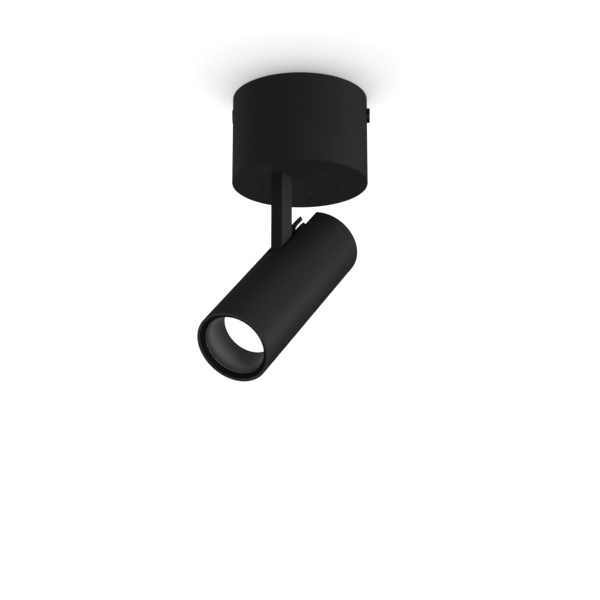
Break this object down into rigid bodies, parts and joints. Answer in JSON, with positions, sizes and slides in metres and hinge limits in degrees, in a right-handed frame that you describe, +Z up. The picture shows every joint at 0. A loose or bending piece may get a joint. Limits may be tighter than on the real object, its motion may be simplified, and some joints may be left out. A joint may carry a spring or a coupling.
{
  "type": "surface mounted ceiling spotlight",
  "caption": "Round surface canopy with an off-centre arm on a turning disc and a slotted tubular spotlight head that tilts at the end of the arm.",
  "frame": {"origin": "centre of the ceiling face of the ceiling plate, where the light is screwed to the ceiling", "axes": "+Z up, normal to the ceiling; +X the way the light points at rest; the tilt axis lies along Y"},
  "size_m": [0.145, 0.1, 0.2281],
  "materials": {
    "canopy_paint": "aluminium with a fine matte black powder coat",
    "arm_paint": "aluminium with a fine matte black powder coat",
    "head_paint": "aluminium with a fine matte black powder coat",
    "black_steel": "black oxide",
    "black_nylon": "moulded, matte",
    "dark_reflector": "dark metallised, glossy",
    "opal_lens": "opal",
    "silicone": "soft",
    "black_rubber": "soft",
    "zinc_steel": "zinc plated",
    "spring_steel": "ground",
    "brass_parts": "turned",
    "white_nylon": "moulded",
    "driver_plastic": "moulded",
    "circuit_board": "lacquered",
    "bare_aluminium": "extruded",
    "led_phosphor": "silicone coated"
  },
  "bodies": {
    "canopy": {"canopy_shell": "canopy_paint", "ceiling_plate": "zinc_steel", "cable_grommet": "black_rubber", "side_screw_near": "black_steel", "side_screw_far": "canopy_paint", "side_nuts": "zinc_steel", "terminal_block": "white_nylon", "terminal_screws": "brass_parts", "earth_screw": "brass_parts", "earth_washer": "zinc_steel", "bearing_ring": "white_nylon", "disc_spring": "spring_steel", "retaining_ring": "zinc_steel", "pan_lock_screw": "black_steel", "standoffs": "zinc_steel", "chassis_plate": "zinc_steel", "chassis_screws": "zinc_steel", "driver_case": "driver_plastic", "driver_cover": "driver_plastic", "driver_board": "circuit_board", "driver_screws": "zinc_steel"},
    "swivel": {"swivel_disc": "canopy_paint", "arm": "arm_paint", "arm_screws": "zinc_steel", "pivot_bush": "brass_parts"},
    "head": {"head_shell": "head_paint", "head_grub_screw": "black_steel", "pivot_block": "black_nylon", "block_screws": "black_steel", "pivot_pin": "spring_steel", "friction_washers": "white_nylon", "heat_sink": "bare_aluminium", "led_board": "bare_aluminium", "led_emitter": "led_phosphor", "led_holder": "white_nylon", "holder_screws": "zinc_steel", "mixing_cup": "white_nylon", "lens": "opal_lens", "lens_gasket": "silicone", "reflector": "dark_reflector", "reflector_seal": "black_rubber"}
  },
  "joints": [
    {"name": "pan", "type": "hinge", "parent": "canopy", "child": "swivel", "pos_m": [0, 0, -0.0635], "axis": [0, 0, 1], "range_deg": [-174, 174]},
    {"name": "tilt", "type": "hinge", "parent": "swivel", "child": "head", "pos_m": [0.0221, 0, -0.1309], "axis": [0, -1, 0], "range_deg": [-45.7, 44.3]}
  ]
}
